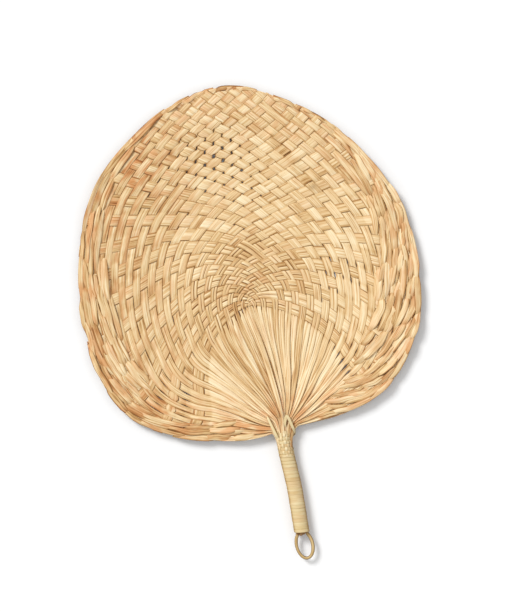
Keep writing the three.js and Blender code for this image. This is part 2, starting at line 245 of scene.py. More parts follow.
def cover(family, own, other):
    """Share of its lane that a strip covers at a place: all of it, or the widest leaf."""
    e = 1e-4
    by_own = (along(family, own + e, other) - along(family, own - e, other)) / (2 * e)
    before = np.maximum(other - e, 0)
    by_other = (along(family, own, other + e) - along(family, own, before)) / (2 * e)
    cross = np.abs(by_own[..., 0] * by_other[..., 1] - by_own[..., 1] * by_other[..., 0])
    width = cross / np.maximum(np.hypot(by_other[..., 0], by_other[..., 1]), 1e-6)
    share = lane_share(own)
    d = 1e-3
    width = width * (lane_place(share + d) - lane_place(share - d)) / (2 * d) / COUNT[family]
    return np.minimum(FILL, MOST_WIDTH[family] / np.maximum(width, 1e-3))


def pinch(family, own, other):
    """How much narrower a strip is between crossings, which leaves small holes at their corners."""
    point = along(family, own, other)
    off = np.abs(lane_share(other) * COUNT[OTHER[family]] % 1 - 0.5)
    less = CORNER_PINCH
    for x, y, radius, more in LOOSE:
        less = less + more * spot(point, x, y, radius)
    return less * smoothstep(off, 0.22, 0.5)


def wave(length, waves, amount):
    """A smooth seeded wander along a strip."""
    t = np.linspace(0, 1, length)
    total = np.zeros(length)
    for k in range(1, waves + 1):
        total += rng.normal() / k**0.7 * np.sin(2 * np.pi * (k * t * 0.8 + rng.random()))
    return amount * total


# ---------------------------------------------------------------- meshes
def normals_of(grid):
    by_row = np.gradient(grid, axis=0)
    by_column = np.gradient(grid, axis=1)
    n = np.cross(by_row, by_column)
    return n / np.maximum(np.linalg.norm(n, axis=-1, keepdims=True), 1e-9)


def ribbon_parts(grid, skin):
    """Vertices and faces of a closed thin solid round a grid of points (rows, columns, xyz)."""
    rows, columns = grid.shape[:2]
    n = normals_of(grid)
    skin = np.broadcast_to(skin, (rows, columns))[..., None]
    top = (grid + n * skin / 2).reshape(-1, 3)
    under = (grid - n * skin / 2).reshape(-1, 3)
    count = rows * columns
    index = np.arange(count).reshape(rows, columns)
    a, b = index[:-1, :-1].ravel(), index[1:, :-1].ravel()
    c, d = index[1:, 1:].ravel(), index[:-1, 1:].ravel()
    edge = np.concatenate([index[:-1, 0], index[-1, :-1], index[:0:-1, -1], index[0, :0:-1]])
    after = np.roll(edge, -1)
    faces = [np.stack([a, b, c, d], 1), np.stack([d, c, b, a], 1) + count,
             np.stack([after, edge, edge + count, after + count], 1)]
    under[:, 2] = np.maximum(under[:, 2], LEAST_Z)
    top[:, 2] = np.maximum(top[:, 2], LEAST_TOP_Z)
    return np.concatenate([top, under]) + ORIGIN, np.concatenate(faces)


def solid_ribbon(name, grid, skin, uv, marks, material):
    """One ribbon as a piece, its map and marks on both sides."""
    verts, faces = ribbon_parts(grid, skin)
    marks = {key: np.tile(values.reshape(-1), 2) for key, values in marks.items()}
    return mesh_piece(name, verts * MM, faces, np.tile(uv.reshape(-1, 2), (2, 1)), marks, material)


def mesh_piece(name, verts, faces, uv, marks, material):
    """An object in the scene, with its strip map and one point attribute for each mark."""
    mesh = bpy.data.meshes.new(name)
    mesh.from_pydata(verts.tolist(), [], faces if isinstance(faces, list) else faces.tolist())
    layer = mesh.uv_layers.new(name="strip")
    corner = np.empty(len(mesh.loops), np.int32)
    mesh.loops.foreach_get("vertex_index", corner)
    layer.data.foreach_set("uv", uv[corner].astype(np.float32).ravel())
    for key, values in marks.items():
        mark = mesh.attributes.new(key, "FLOAT", "POINT")
        mark.data.foreach_set("value", values.astype(np.float32))
    mesh.shade_smooth()
    mesh.materials.append(material)
    piece = bpy.data.objects.new(name, mesh)
    bpy.context.scene.collection.objects.link(piece)
    return piece


def placed(piece, slot, *nodes):
    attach(piece, "root")
    if nodes:
        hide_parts(*nodes)


# ---------------------------------------------------------------- materials
def linear(r, g, b):
    """A screen colour, 0 to 255, as a linear colour for a shader."""

    def one(c):
        c /= 255
        return c / 12.92 if c <= 0.04045 else ((c + 0.055) / 1.055) ** 2.4
    return (one(r), one(g), one(b), 1)


def straw(name, ramp, stain, fibre=0.75, patch=0.3, crease_shade_depth=0.28, bump=0.5,
          rough=(0.42, 0.66)):
    """Dried palm leaf: lengthwise ribs and fibres, blotches, painted shade in creases, and edges
    darkened partly brown and partly with painted shade, over a tone.
    """
    material = bpy.data.materials.new(name)
    material.use_nodes = True
    nodes, links = material.node_tree.nodes, material.node_tree.links
    nodes.clear()

    def node(kind, **values):
        made = nodes.new(kind)
        for key, value in values.items():
            if key in made.inputs:
                made.inputs[key].default_value = value
            else:
                setattr(made, key, value)
        return made

    def maths(operation, a, b):
        made = node("ShaderNodeMath", operation=operation)
        for socket, value in zip(made.inputs, (a, b)):
            if isinstance(value, (int, float)):
                socket.default_value = value
            else:
                links.new(value, socket)
        return made.outputs[0]

    def between(value, low, high):
        made = node("ShaderNodeMapRange", interpolation_type="SMOOTHSTEP")
        made.inputs["From Min"].default_value, made.inputs["From Max"].default_value = low, high
        links.new(value, made.inputs["Value"])
        return made.outputs[0]

    def noise(lengthwise, across, detail=2.0, shift=0.0):
        spread = node("ShaderNodeVectorMath", operation="MULTIPLY_ADD")
        spread.inputs[1].default_value = (lengthwise, across, 1)
        spread.inputs[2].default_value = (shift, shift, 0)
        links.new(place, spread.inputs[0])
        made = node("ShaderNodeTexNoise", noise_dimensions="2D", Scale=1.0, Detail=detail)
        links.new(spread.outputs[0], made.inputs["Vector"])
        return maths("SUBTRACT", made.outputs["Fac"], 0.5)

    def mark(key):
        return node("ShaderNodeAttribute", attribute_name=key).outputs["Fac"]

    # The strip map is in millimetres: u along the leaf, v across it.
    place = node("ShaderNodeUVMap", uv_map="strip").outputs[0]
    fibres = noise(0.05, 1.5, 3.0)
    ribs = noise(0.02, 0.6, 1.0, 31.0)
    blotch = noise(0.09, 0.22, 2.0, 57.0)
    value = maths("ADD", mark("tone"), maths("MULTIPLY", fibres, fibre * 0.8))
    value = maths("ADD", value, maths("MULTIPLY", ribs, fibre))
    value = maths("ADD", value, maths("MULTIPLY", blotch, patch))
    # painted shade: thin dark lengthwise lines for the shade in the leaf's creases
    crease = maths("ABSOLUTE", noise(0.008, 0.55, 1.0, 13.0), 0.0)
    crease_shade = maths("SUBTRACT", 1.0, between(crease, 0.0, 0.05))
    value = maths("SUBTRACT", value, maths("MULTIPLY", crease_shade, crease_shade_depth))
    # the edge mark darkens: brown leaf edges and dark seams, and painted shade in folds, slits,
    # round holes, between strips and on the sides of round rods
    edge_brown_and_shade = maths("MULTIPLY", mark("edge"), maths("ADD", 0.48, maths("MULTIPLY", blotch, 1.2)))
    value = maths("SUBTRACT", value, edge_brown_and_shade)
    colours = node("ShaderNodeValToRGB")
    stops = colours.color_ramp.elements
    for k, (at, colour) in enumerate(ramp):
        stop = stops[k] if k < 2 else stops.new(at)
        stop.position, stop.color = at, linear(*colour)
    links.new(value, colours.inputs[0])
    stained = node("ShaderNodeMix", data_type="RGBA", blend_type="MULTIPLY")
    stained.inputs["B"].default_value = linear(*stain)
    patches = between(noise(0.05, 0.12, 2.0, 91.0), -0.12, 0.2)
    links.new(maths("MULTIPLY", patches, mark("warm")), stained.inputs["Factor"])
    links.new(colours.outputs[0], stained.inputs["A"])

    shader = node("ShaderNodeBsdfPrincipled")
    shader.inputs["Specular IOR Level"].default_value = 0.35
    links.new(stained.outputs["Result"], shader.inputs["Base Color"])
    gloss = node("ShaderNodeMapRange")
    gloss.inputs["From Min"].default_value, gloss.inputs["From Max"].default_value = -0.5, 0.5
    gloss.inputs["To Min"].default_value, gloss.inputs["To Max"].default_value = rough
    links.new(fibres, gloss.inputs["Value"])
    links.new(gloss.outputs[0], shader.inputs["Roughness"])
    relief = node("ShaderNodeBump", Strength=bump, Distance=0.0003)
    links.new(maths("ADD", maths("MULTIPLY", fibres, 0.4), ribs), relief.inputs["Height"])
    links.new(relief.outputs[0], shader.inputs["Normal"])
    links.new(shader.outputs[0], node("ShaderNodeOutputMaterial").inputs[0])
    return material


PALM = [(0.0, (116, 70, 28)), (0.3, (186, 138, 78)), (0.55, (225, 188, 132)),
        (0.75, (241, 211, 162)), (1.0, (253, 233, 193))]
CANE = [(0.0, (108, 76, 36)), (0.3, (180, 144, 86)), (0.55, (217, 191, 137)),
        (0.75, (234, 215, 170)), (1.0, (248, 237, 204))]
STALK = [(0.0, (70, 44, 24)), (0.4, (146, 104, 62)), (0.7, (190, 148, 98)),
         (0.9, (200, 160, 110)), (1.0, (220, 184, 136))]
RUST = (232, 190, 158)
LEAF = {"left": straw("palm_leaf_left", PALM, RUST), "right": straw("palm_leaf_right", PALM, RUST)}
WRAP = straw("wrap_leaf", CANE, RUST, fibre=0.2, patch=0.25, crease_shade_depth=0.05, bump=0.25)
LOOP = straw("loop_cane", CANE, (190, 150, 100), fibre=0.3, patch=0.4, crease_shade_depth=0.1)
TIE = straw("tie_leaf", CANE, RUST, fibre=0.25, patch=0.15, crease_shade_depth=0.08)
CORE = straw("stalk_ends", STALK, RUST, fibre=0.6, patch=0.4)


# ---------------------------------------------------------------- woven strips
def bezier(p0, p1, p2, p3, t):
    s = 1 - t
    return s**3 * p0 + 3 * s * s * t * p1 + 3 * s * t * t * p2 + t**3 * p3


def unit(v):
    return v / np.maximum(np.linalg.norm(v, axis=-1, keepdims=True), 1e-9)


def run_length(path):
    """How far along a path each of its points lies."""
    return np.concatenate([[0], np.cumsum(np.linalg.norm(np.diff(path, axis=0), axis=-1))])


def strip_map(grid, row):
    """Millimetres along and across a ribbon, from a seeded start and a row of its own."""
    middle = grid.shape[1] // 2
    run = run_length(grid[:, middle])
    half = np.linalg.norm(grid - grid[:, middle:middle + 1], axis=-1)
    half = half * np.sign(np.arange(grid.shape[1]) - middle)
    return np.stack([run[:, None] + rng.uniform(0, 900) + 0 * half, half + row * 23.0], -1)


# Seeded differences between the cells of the plait: family, strip and crossing.
CELL_RISE = rng.uniform(0.7, 1.35, (2, 30, 30))
CELL_TONE = rng.normal(0, 0.04, (2, 30, 30))
CELL_TILT = rng.normal(0, 0.15, (2, 30, 30))
# CELL_SHADE is painted shade: how much darker a cell grows towards its ends, where the strip dips
# under the crossing strip
CELL_SHADE = rng.uniform(0.0, 0.16, (2, 30, 30))
SKIPPED = rng.random((30, 30)) < 0.015    # crossings where a strip floats over two more
WANDER = 0.03             # how far a strip strays, as a share of its lane
FAR_SIDE = (30, 80)       # beyond the middle line a strip becomes narrower
FAR_NARROWING = 0.2
HUMP_SPREAD = 1.12        # how far a strip stays up beside the strip that it crosses
EDGE_DROP = 0.55          # how much lower its edges lie than its middle, as a share
LEAST_CROWN = 0.15
FOLDED_WITHIN = (38, 88)  # round the middle the leaves are folded lengthwise
ROOT_STEP = 1.8
ROOT_WANDER = 0.07
HOLD_Y = NECK_Y - 18      # where the roots start, under the binding
STEM_ROWS = 16
STEM_ARM = 0.64           # how straight a root leaves the handle
NECK_ARM = 0.16           # and how straight it reaches the neck
HOLD_HALF_WIDTH = 6.8     # of the handle under the binding
HOLD_HALF_HEIGHT = 4.8
PILE_STEP = 0.12          # between the roots that lie over one another on the handle
PLEAT_ARCH = 0.08         # height of a root's arch, as a share of its width
PLEAT_SLOPE = 0.38
PLEAT_FOLD = 0.3
# bundle, loose: a root's width at the neck and further up, in lanes. stack, pile: its height at
# the neck. seat, seat_spread, half_width, lift: its place on the handle. tone: how much paler.
PLAIN_ROOT = SimpleNamespace(bundle=2.6, loose=1.25, stack=0.0, pile=0.5, seat=0.0,
                             seat_spread=5.2, half_width=0.9, lift=0.0, tone=0.0)
BROAD_ROOT = SimpleNamespace(bundle=7.0, loose=2.4, stack=3.6, pile=0.0, seat=0.8,
                             seat_spread=0.0, half_width=1.9, lift=0.6, tone=0.14)
BROAD_STRIP = ("left", 1)  # the broad pale leaf that runs on to the front of the handle
LEAF_TONE = 0.785
ROOT_TONE = 0.05
# Places on the plan that differ in tone: x, y and radius.
HEART = (MIDDLE_SHIFT, 0, 42)
BROWN_CORNER = (-70, 120, 45)
# where dark slits are painted as shade below the first crossings
SLIT_SHADE_SPOT = (-22, -7, 14)


def root_point(family, own, t):
    """The unwoven root of a lane, from the neck (0) to the first crossing (1)."""
    side = SIDE[family]
    sweep = np.radians(SWEEP_DEG[family]) * own**NECK_EVENNESS
    out = np.stack([side * np.sin(sweep), np.cos(sweep)], -1)
    start = np.array([0, NECK_Y]) + out * NECK_RADIUS
    finish = along(family, own, np.zeros_like(own))
    heading = unit(along(family, own, 0.01 * own) - finish)
    arm = 0.36 * np.linalg.norm(start - finish, axis=-1, keepdims=True)
    short = np.minimum(arm, 1.5 * own[..., None] * REACH[family])
    return bezier(start, start + out * arm, finish - heading * short, finish, t), out


def lean(y):
    """How far the handle's axis leans to the left at a height."""
    return -HANDLE_LEAN * smoothstep(y, NECK_Y - 58, NECK_Y - 12)


def plaited_run(family, number):
    """The plaited run of a strip, from its first crossing to the rim."""
    side, count, other_count = SIDE[family], COUNT[family], COUNT[OTHER[family]]
    which = WHICH[family]
    v = ACROSS[None, :] * -side
    centre = lane_place((number + 0.5) / count)
    last = float(lane_end(np.array([centre]))[0])

    # rows evenly spaced along the strip
    fine = np.linspace(0, last, 600)
    line = along(family, np.full_like(fine, centre), fine)
    length = np.concatenate([[0], np.cumsum(np.hypot(*np.diff(line, axis=0).T))])
    rows = max(12, int(length[-1] / ROW_STEP))
    other = np.interp(np.linspace(0, length[-1], rows), length, fine)[:, None]

    lane = np.full_like(other, centre)
    pinched = pinch(family, lane, other)
    share = cover(family, lane, other) * (1 - pinched)
    far = smoothstep(-side * along(family, lane, other)[..., 0], *FAR_SIDE)
    share = share * (1 - FAR_NARROWING * far)
    wander = wave(rows, 6, WANDER)[:, None] * smoothstep(np.arange(rows), 0, 20)[:, None]
    own = lane_place((number + 0.5 + wander + v * share / 2) / count)
    other = other * lane_end(own) / last
    point = along(family, own, other)

    # over one, under one
    other_index = lane_share(other) * other_count
    cell = np.clip(np.floor(other_index).astype(int), 0, other_count - 1)
    off = other_index - (cell + 0.5)
    crossing = cover(OTHER[family], lane_place((cell + 0.5) / other_count), own)
    hump = np.maximum(0, 1 - (np.abs(2 * off / crossing) / HUMP_SPREAD) ** 4)
    skipped = SKIPPED[number, cell] if family == "left" else SKIPPED[cell, number]
    over = np.where(((cell + number) % 2 == 0) ^ skipped, 1, -1) * -side
    tilt = CELL_TILT[which, number, cell] * v
    crown = np.maximum(LEAST_CROWN, 1 - EDGE_DROP * np.abs(v) ** 3 + tilt)
    from_middle = np.hypot(point[..., 0] - MIDDLE_SHIFT, point[..., 1])
    folded = 1 - smoothstep(from_middle, *FOLDED_WITHIN)
    crown = crown * (1 - folded * (v == 0))
    z = dish(point) + over * RISE * CELL_RISE[which, number, cell] * hump * crown
    # painted shade: each cell darker towards its ends, under the crossing strip
    tone = CELL_TONE[which, number, cell] - CELL_SHADE[which, number, cell] * (1 - hump) ** 2
    return SimpleNamespace(centre=centre, start=line[0], rows=rows, share=share, pinched=pinched,
                           point=point, z=z, folded=folded[:, MIDDLE], tone=tone,
                           grid=np.concatenate([point, z[..., None]], -1))


def turned_under(run):
    """Rows that turn a strip's end under the rim and back."""
    end, z = run.point[-1], run.z[-1]
    ahead = unit(end - run.point[-2])
    low = dish(end) - FOLD_DROP
    rows = []
    for turn in np.radians([30, 60, 90, 120, 150, 180]):
        p = end + ahead * FOLD_RADIUS * math.sin(turn)
        height = z + (low - z) * (1 - math.cos(turn)) / 2
        rows.append(np.concatenate([p, height[:, None]], -1))
    for back in FOLD_BACK:
        p = end - ahead * back
        rows.append(np.concatenate([p, (dish(p) - FOLD_DROP)[:, None]], -1))
    return np.array(rows)


def pile_place(number):
    """Where a root lies among the five that are piled over one another."""
    return (number * 2) % 5


def root_rows(family, number, run, form):
    """The unwoven root: a pleated leaf, stacked at the neck and side by side at the plait."""
    v = ACROSS[None, :] * -SIDE[family]
    start = root_point(family, np.full((1, 1), run.centre), 0.0)[0][0, 0]
    length = np.hypot(*(start - run.start))
    steps = np.linspace(0, 1, max(10, int(length / ROOT_STEP)) + 1)[:-1, None]
    spread = (form.bundle + (form.loose - form.bundle) * smoothstep(steps, 0, 0.6)
              + (run.share[0] - form.loose) * smoothstep(steps, 0.8, 1))
    drift = wave(len(steps), 3, ROOT_WANDER)[:, None] * np.sin(np.pi * steps)
    own = lane_place(np.maximum(number + 0.5 + drift + v * spread / 2, 0.02) / COUNT[family])
    point, out = root_point(family, own, steps[..., None])
    stack = form.stack + form.pile * (pile_place(number) - 2)
    fade = 1 - smoothstep(steps, 0.15, 0.9)
    wide = np.linalg.norm(point[:, 0] - point[:, -1], axis=-1)[:, None]
    slope = PLEAT_SLOPE * v * rng.normal(1, 0.25)
    pleat = wide * PLEAT_ARCH * (1 - v**2) + slope - PLEAT_FOLD * (v == 0)
    pleat = pleat * (1 - smoothstep(steps, 0.85, 1))
    z = dish(point) + pleat + stack * fade
    return SimpleNamespace(grid=np.concatenate([point, z[..., None]], -1), out=out[0],
                           left=(1 - steps) * length)


def stem_rows(family, number, run, root, form):
    """The start of a strip, from the handle's front or back into the neck."""
    side = SIDE[family]
    v = ACROSS * -side
    front = 1 if form is BROAD_ROOT or number % 2 == 0 else -1
    x = side * (form.seat + form.seat_spread * run.centre**0.7) + v * side * form.half_width
    round_off = np.sqrt(np.clip(1 - (x / HOLD_HALF_WIDTH) ** 2, 0.05, 1))
    z = AXIS_Z + front * HOLD_HALF_HEIGHT * round_off + form.lift + PILE_STEP * pile_place(number)
    hold = np.stack([x + lean(HOLD_Y), np.full_like(x, HOLD_Y), z], -1)
    neck = root.grid[0]
    gap = np.linalg.norm(neck - hold, axis=-1, keepdims=True)
    outward = np.concatenate([root.out, np.zeros((len(ACROSS), 1))], -1)
    upward = np.array([0.05 * side * run.centre, STEM_ARM, 0])
    return np.array([bezier(hold, hold + upward * gap, neck - outward * gap * NECK_ARM, neck, t)
                     for t in np.linspace(0, 1, STEM_ROWS + 1)[:-1]])


def leaf_marks(family, number, grid, run, root, form):
    """Tone, browned edges and warmth at each point of a strip."""
    side = SIDE[family]
    first = STEM_ROWS + len(root.grid)
    unwoven, woven = slice(first), slice(first, first + run.rows)
    rooted = slice(STEM_ROWS, first)
    x, y = grid[..., 0], grid[..., 1]
    heart, corner = spot(grid, *HEART), spot(grid, *BROWN_CORNER)
    foot = smoothstep(-y, 55, 100) * (y > NECK_Y - 2)

    tone = np.full(grid.shape[:2], LEAF_TONE + rng.normal(0, 0.05) + form.tone)
    tone[unwoven] += ROOT_TONE + rng.normal(0, 0.06)
    tone[woven] += run.tone
    # darker round the middle, in the upper left and at the foot; darker to the left and paler to
    # the right as painted shade and painted light, for light from the upper left
    tone -= 0.06 * heart + 0.07 * smoothstep(-x, 35, 105)
    tone += 0.03 * smoothstep(x, 45, 100)
    tone -= 0.045 * corner + 0.03 * foot
    # painted shade along the crease
    tone -= rng.uniform(0.06, 0.26) * np.exp(-(from_ridge(grid) / RIDGE_WIDTH) ** 2)
    near_side = smoothstep(side * x, 25, 80)
    far_side = smoothstep(-side * x, 25, 80) * (y > -90)
    tone += 0.02 * near_side + 0.01 * far_side

    # edges darkened partly as brown leaf edges and partly as painted shade between neighbouring
    # strips, painted shade in the folds along the middle, painted shade in the slits below the
    # first crossings, and painted shade round the holes
    edge = np.abs(ACROSS[None, :]) ** 8 * np.ones((len(grid), 1))
    edge[unwoven, MIDDLE] = 0.48
    edge[unwoven] *= 1.5 - 0.6 * smoothstep(np.hypot(x[unwoven], y[unwoven] - NECK_Y), 12, 60)
    edge[woven, MIDDLE] = 1.3 * run.folded
    edge[woven] *= 1 + 0.35 * heart[woven]
    close = 1 - smoothstep(root.left, 5, 8)
    slit_shade = spot(grid, *SLIT_SHADE_SPOT)[rooted] * close * (np.abs(ACROSS) > 0.7) * (number % 2)
    edge[rooted] += 4 * slit_shade
    edge[woven] += 2.6 * np.maximum(0, run.pinched - CORNER_PINCH) * np.abs(ACROSS) ** 8

    warm = 0.05 + 0.4 * smoothstep(rim_share(grid), 0.65, 0.98) + 0.3 * smoothstep(-x, 40, 110)
    warm = warm + rng.uniform(0, 0.2) + 0.3 * corner + 0.4 * foot + 0.25 * heart
    return {"tone": tone, "edge": edge, "warm": warm}


def leaf_strip(family, number):
    """One strip: from the handle, up the root, through the plait to the rim and turned under."""
    form = BROAD_ROOT if (family, number) == BROAD_STRIP else PLAIN_ROOT
    run = plaited_run(family, number)
    folds = turned_under(run)
    root = root_rows(family, number, run, form)
    stem = stem_rows(family, number, run, root, form)
    grid = np.concatenate([stem, root.grid, run.grid, folds])
    marks = leaf_marks(family, number, grid, run, root, form)
    uv = strip_map(grid, number + 40 * WHICH[family])
    name = f"straw_{family}_{number + 1:02d}"
    piece = solid_ribbon(name, grid, THIN_EDGES, uv, marks, LEAF[family])
    placed(piece, f"straw_{family}", f"{family}_strip_{number + 1:02d}")


for family in ("left", "right"):
    for number in range(COUNT[family]):
        leaf_strip(family, number)


# ---------------------------------------------------------------- ends turned back along the border
TAIL_STEP = 1.5
TAIL_RADIUS = 130              # of the rim, on the average
TAIL_TUCK = 11                 # length of each tip that dips under the plait
TAIL_PITCH = 4.2               # distance between two rows of tails
TAIL_TONE = {"left": 0.72, "right": 0.76}
TAIL_WARMTH = {"left": 0.8, "right": 0.7}
SHORT_SPAN_DEG = 10            # rows of shorter tails keep their own slant
LEFT_CORNER_DEG = (205, 238)   # only the outer rows run round the lower left
CORNER_ROWS = 2
FULL_ROWS = 4                  # of the rows further in, some tails are left out
LEFT_OUT_SHARE = 0.35


def border_tail(name, family, from_deg, to_deg, inset, slant, layer, widths):
    """A strip end turned back along the rim, lying on the plait with both tips tucked under."""
    length = abs(math.radians(to_deg - from_deg)) * TAIL_RADIUS
    rows = max(12, int(length / TAIL_STEP))
    t = np.linspace(0, 1, rows)[:, None]
    degrees = from_deg + (to_deg - from_deg) * t
    taper = 0.2 + 0.8 * np.sin(np.pi * np.clip(t * 0.9 + 0.05, 0, 1)) ** 0.8
    width = rng.uniform(*widths) * taper
    v = ACROSS[None, :] * (1 if to_deg < from_deg else -1)
    line = np.maximum(inset + slant * (t - 0.5) + wave(rows, 3, 0.4)[:, None], 0.5 * width - 0.4)
    radius = rim(degrees) - line + v * width / 2
    angle = np.radians(degrees)
    point = np.stack([radius * np.cos(angle), radius * np.sin(angle)], -1)
    tuck = smoothstep(np.minimum(t, 1 - t) * length, 0, TAIL_TUCK)
    ripple = 0.25 * np.sin(2 * np.pi * (t * length / 30 + rng.random()))
    lift = -0.9 + tuck * (1.8 + layer * 0.35) + ripple
    fold = -0.1 * (v == 0)
    z = dish(point) + lift + 0.35 * (1 - v**2) + rng.normal(0, 0.45) * v * tuck + fold
    grid = np.concatenate([point, z[..., None]], -1)
    inner = smoothstep(inset, 6, 28)
    base = TAIL_TONE[family] + 0.02 * inner
    # painted shade: darker towards the tips, where they dip under the plait
    tones = np.full(grid.shape[:2], base + rng.normal(0, 0.08)) - 0.2 * (1 - tuck)
    edge = np.abs(ACROSS[None, :]) ** 6 * np.ones((rows, 1))
    # painted shade along the fold in the middle
    edge[:, MIDDLE] = 0.25
    warm = np.full(grid.shape[:2], TAIL_WARMTH[family] - 0.35 * inner)
    piece = solid_ribbon(name, grid, THIN_EDGES, strip_map(grid, 90 + layer + inset),
                         {"tone": tones, "edge": edge, "warm": warm}, LEAF[family])
    placed(piece, f"straw_{family}")


def border(name, family, near_deg, far_degrees, slants, widths=(4.2, 6.4), spans=(12, 24)):
    """Rows of overlapping tails, the outermost first, each as far round the rim as it is told."""
    made = 0
    for row, far_deg in enumerate(far_degrees):
        direction = 1 if far_deg > near_deg else -1
        at = near_deg + direction * (4.5 * row + rng.uniform(-2, 3))
        while (far_deg - at) * direction > 8:
            span = rng.uniform(*spans)
            start, end = at, at + direction * span
            level = row == 0 and spans[0] > SHORT_SPAN_DEG
            slant = rng.uniform(0.5, 2) if level else rng.uniform(*slants)
            inset = 0.5 * widths[0] + 0.5 + TAIL_PITCH * row + rng.uniform(-0.8, 0.8)
            at += direction * span * rng.uniform(0.5, 0.75)
            in_corner = LEFT_CORNER_DEG[0] < (start + end) / 2 < LEFT_CORNER_DEG[1]
            if row > CORNER_ROWS and in_corner:
                continue
            if row > FULL_ROWS and rng.random() < LEFT_OUT_SHARE:
                continue
            made += 1
            border_tail(f"{name}_{made:02d}", family, end, start, inset, slant, rng.integers(0, 3),
                        np.array(widths) * (1 + 0.05 * row))


border("border_left", "left", 262, (112, 118, 132, 142, 150, 158, 168, 180), (1.5, 5))
border("border_right", "right", -78, (60, 58, 54, 50, 44, 38, 30, 20, 6), (4, 9))
border("border_top_left", "left", 122, (80,), (3, 5), (3.0, 4.4), (5, 9))
border("border_top_right", "right", 50, (84,), (3, 5), (3.0, 4.4), (5, 9))


# ---------------------------------------------------------------- handle
def joined(name, grids, skin, row, tone, warm, material, edge_power, edge_brown_and_shade=0.0, seam=1.0):
    """Several ribbons as one piece, with painted shade darkening them towards the handle's sides.
    """
    verts, faces, uvs, tones, edges, count = [], [], [], [], [], 0
    for k, grid in enumerate(grids):
        part = ribbon_parts(grid, skin)
        verts.append(part[0])
        faces.append(part[1] + count)
        count += len(part[0])
        uvs.append(np.tile(strip_map(grid, row + k).reshape(-1, 2), (2, 1)))
        edge = seam * np.abs(ACROSS)[None, :] ** edge_power * np.ones((len(grid), 1))
        edges.append(np.tile(edge.ravel(), 2))
        aside = np.abs(grid[..., 0] - lean(grid[..., 1])) / WRAP_RADIUS
        shade = tone + (rng.normal(0, 0.05) if len(grids) > 1 else 0)
        # painted shade: darker towards the handle's sides, where the round handle turns away from
        # the light
        shade = shade - edge_brown_and_shade * smoothstep(aside, 0.72, 1.15)
        tones.append(np.tile(shade.ravel(), 2))
    marks = {"tone": np.concatenate(tones), "edge": np.concatenate(edges),
             "warm": np.full(count, warm)}
    return mesh_piece(name, np.concatenate(verts) * MM, np.concatenate(faces),
                      np.concatenate(uvs), marks, material)


BINDING_TOP_Y = NECK_Y - 6.8
WRAP_TOP_Y = NECK_Y - 18.6
WRAP_PITCH = 2.95
WRAP_TURNS = 24.0
WRAP_RADIUS = 6.0
WRAP_OVAL = 1.07       # the handle is a little wider than high
WRAP_STEPS = 44        # rows of a winding to the turn
BINDING_TURNS = 4.0
BINDING_COUNT = 15


def wound(turns, top_y, radius):
    """Grid of a flat strip wound round the handle."""
    turn = np.linspace(0, turns, int(turns * WRAP_STEPS))[:, None]
    angle = 2 * np.pi * turn + np.pi
    v = ACROSS[None, :]
    wobble = 0.05 * (np.sin(turn * 1.7) - 1) + 0.03 * (np.sin(turn * 5.3 + 1) - 1)
    r = radius + wobble - 0.08 * np.abs(v) ** 6 + 0 * angle
    y = top_y - WRAP_PITCH * turn + v * WRAP_PITCH * 0.497
    wide = WRAP_OVAL + 0.05 * smoothstep(y, NECK_Y - 20, NECK_Y - 6)
    return np.stack([wide * r * np.sin(angle) + lean(y), y, AXIS_Z + r * np.cos(angle)], -1)


def seams(turns, strength):
    """How dark the seam is on each turn of a winding."""
    turn = np.linspace(0, turns, int(turns * WRAP_STEPS))
    return np.interp(turn, np.arange(len(strength)), strength)[:, None]


seam_strength = rng.uniform(0.1, 0.9, int(WRAP_TURNS) + 2)
seam_strength[[1, 2, 3, 17]] = 2.0, 0.4, 1.6, 1.8
# the winding's sides get painted shade
wrap = joined("handle_winding", [wound(WRAP_TURNS, WRAP_TOP_Y, WRAP_RADIUS)], skin=0.45,
              row=140, tone=0.67, warm=0.3, material=WRAP, edge_power=16, edge_brown_and_shade=0.45,
              seam=seams(WRAP_TURNS, seam_strength))
placed(wrap, "wrap", "handle_wrap")


def lengthwise(k):
    """Grid of one short lengthwise strip of the binding, over one turn and under the next."""
    turn = 2 * np.pi * (k + rng.uniform(-0.15, 0.15)) / BINDING_COUNT
    y = np.linspace(NECK_Y - 27, NECK_Y - 2.5 + rng.uniform(-1.5, 1.5), 60)[:, None]
    crossing = (BINDING_TOP_Y - y) / WRAP_PITCH - (turn - np.pi) / (2 * np.pi)
    within = smoothstep(y, NECK_Y - 26, NECK_Y - 22.5) * (1 - smoothstep(y, NECK_Y - 6, NECK_Y - 3))
    height = 0.24 + 0.18 * np.cos(turn)
    over = within * height * np.cos(np.pi * (crossing + k)) - 0.6 * (1 - within)
    angle = turn + ACROSS[None, :] * 0.19 + 0.03 * np.sin(y * 0.5 + turn)
    radius = WRAP_RADIUS - 0.2 + over + 0.1 * (1 - ACROSS[None, :] ** 2)
    x = radius * np.sin(angle) * (1.08 + 0.1 * smoothstep(y, NECK_Y - 10, NECK_Y - 3)) + lean(y)
    return np.stack([x, y + 0 * angle, AXIS_Z + radius * np.cos(angle)], -1)


# the binding of the neck: turns of strip, with short strips plaited lengthwise through them
binding = [wound(BINDING_TURNS, BINDING_TOP_Y, WRAP_RADIUS - 0.05)]
binding += [lengthwise(k) for k in range(BINDING_COUNT)]
# the binding's sides get painted shade too
collar = joined("neck_binding", binding, skin=0.3, row=150, tone=0.76, warm=0.35,
                material=WRAP, edge_power=6, edge_brown_and_shade=0.2)
placed(collar, "wrap", "neck_collar")


